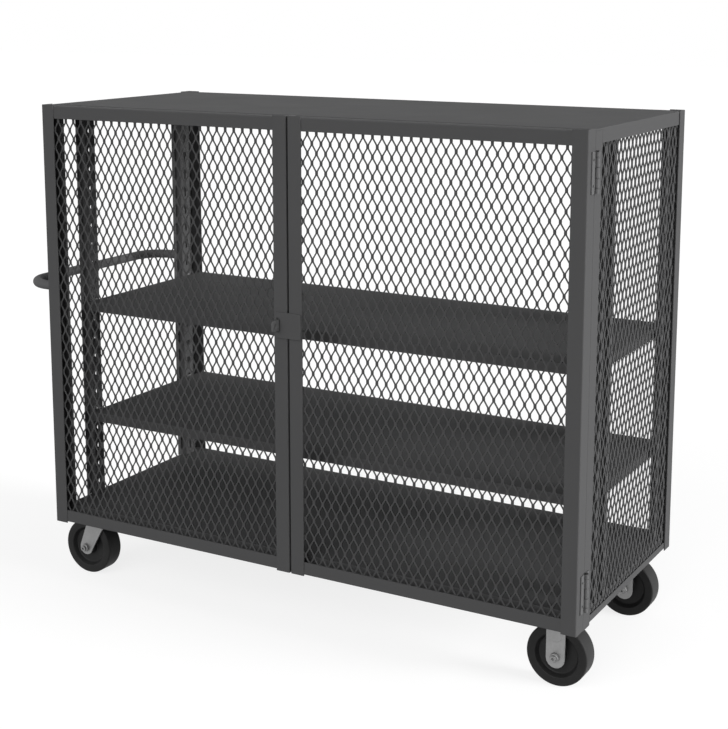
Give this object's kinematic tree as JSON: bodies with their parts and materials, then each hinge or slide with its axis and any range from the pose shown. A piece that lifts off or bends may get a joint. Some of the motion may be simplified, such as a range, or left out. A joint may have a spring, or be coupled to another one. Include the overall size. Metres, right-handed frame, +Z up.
{
  "type": "mesh shelf trolley",
  "caption": "Steel shelf cabinet on casters with two mesh doors, a mesh end, adjustable shelves, a hasp for a padlock and a push handle.",
  "frame": {"origin": "centre of the footprint of the whole trolley with its handle, on the floor", "axes": "+X along the length, away from the push handle; +Y to the back, away from the doors; +Z up"},
  "size_m": [1.688, 0.683, 1.3175],
  "materials": {
    "grey_powder_coat": "fine-textured dark grey powder coat",
    "zinc_plate": "dull zinc plate",
    "black_phenolic": "moulded black phenolic resin"
  },
  "bodies": {
    "frame": {"bottom_deck": "grey_powder_coat", "front_left_kingpin": "zinc_plate", "front_left_post": "grey_powder_coat", "front_left_swivel_plate": "zinc_plate", "front_right_axle_bolt": "zinc_plate", "front_right_post": "grey_powder_coat", "front_right_rigid_bracket": "zinc_plate", "left_bottom_hinge_pin": "grey_powder_coat", "left_bottom_hinge_post_leaf": "grey_powder_coat", "left_caster_channel": "grey_powder_coat", "left_front_upright": "grey_powder_coat", "left_rear_upright": "grey_powder_coat", "left_top_hinge_pin": "grey_powder_coat", "left_top_hinge_post_leaf": "grey_powder_coat", "lower_shelf": "grey_powder_coat", "lower_shelf_clip_front_left": "zinc_plate", "lower_shelf_clip_front_right": "zinc_plate", "lower_shelf_clip_rear_left": "zinc_plate", "lower_shelf_clip_rear_right": "zinc_plate", "push_handle": "grey_powder_coat", "rear_left_kingpin": "zinc_plate", "rear_left_post": "grey_powder_coat", "rear_left_swivel_plate": "zinc_plate", "rear_right_axle_bolt": "zinc_plate", "rear_right_post": "grey_powder_coat", "rear_right_rigid_bracket": "zinc_plate", "right_bottom_hinge_pin": "grey_powder_coat", "right_bottom_hinge_post_leaf": "grey_powder_coat", "right_caster_channel": "grey_powder_coat", "right_front_upright": "grey_powder_coat", "right_rear_upright": "grey_powder_coat", "right_side_mesh": "grey_powder_coat", "right_side_sill": "grey_powder_coat", "right_top_hinge_pin": "grey_powder_coat", "right_top_hinge_post_leaf": "grey_powder_coat", "roof_pan": "grey_powder_coat", "upper_shelf": "grey_powder_coat", "upper_shelf_clip_front_left": "zinc_plate", "upper_shelf_clip_front_right": "zinc_plate", "upper_shelf_clip_rear_left": "zinc_plate", "upper_shelf_clip_rear_right": "zinc_plate"},
    "left_door": {"left_bottom_hinge_door_leaf": "grey_powder_coat", "left_door_frame": "grey_powder_coat", "left_door_mesh": "grey_powder_coat", "left_top_hinge_door_leaf": "grey_powder_coat", "padlock_staple": "grey_powder_coat"},
    "right_door": {"hasp_plate": "grey_powder_coat", "right_bottom_hinge_door_leaf": "grey_powder_coat", "right_door_frame": "grey_powder_coat", "right_door_mesh": "grey_powder_coat", "right_top_hinge_door_leaf": "grey_powder_coat"},
    "front_left_swivel": {"front_left_axle_bolt": "zinc_plate", "front_left_swivel_fork": "zinc_plate"},
    "rear_left_swivel": {"rear_left_axle_bolt": "zinc_plate", "rear_left_swivel_fork": "zinc_plate"},
    "front_left_wheel": {"front_left_wheel": "black_phenolic"},
    "rear_left_wheel": {"rear_left_wheel": "black_phenolic"},
    "front_right_wheel": {"front_right_wheel": "black_phenolic"},
    "rear_right_wheel": {"rear_right_wheel": "black_phenolic"}
  },
  "joints": [
    {"name": "left_door_hinge", "type": "hinge", "parent": "frame", "child": "left_door", "pos_m": [-0.6971, -0.268, 0.7455], "axis": [0, 0, -1], "range_deg": [0, 110]},
    {"name": "right_door_hinge", "type": "hinge", "parent": "frame", "child": "right_door", "pos_m": [0.8385, -0.268, 0.7455], "axis": [0, 0, 1], "range_deg": [0, 180]},
    {"name": "front_left_swivel", "type": "hinge", "parent": "frame", "child": "front_left_swivel", "pos_m": [-0.6093, -0.1942, 0.1804], "axis": [0, 0, 1], "continuous": true},
    {"name": "front_left_wheel_spin", "type": "hinge", "parent": "front_left_swivel", "child": "front_left_wheel", "pos_m": [-0.6583, -0.1942, 0.0762], "axis": [0, 1, 0], "continuous": true},
    {"name": "rear_left_swivel", "type": "hinge", "parent": "frame", "child": "rear_left_swivel", "pos_m": [-0.6093, 0.2695, 0.1804], "axis": [0, 0, 1], "continuous": true},
    {"name": "rear_left_wheel_spin", "type": "hinge", "parent": "rear_left_swivel", "child": "rear_left_wheel", "pos_m": [-0.6583, 0.2695, 0.0762], "axis": [0, 1, 0], "continuous": true},
    {"name": "front_right_wheel_spin", "type": "hinge", "parent": "frame", "child": "front_right_wheel", "pos_m": [0.7507, -0.1942, 0.0762], "axis": [0, 1, 0], "continuous": true},
    {"name": "rear_right_wheel_spin", "type": "hinge", "parent": "frame", "child": "rear_right_wheel", "pos_m": [0.7507, 0.2695, 0.0762], "axis": [0, 1, 0], "continuous": true}
  ]
}
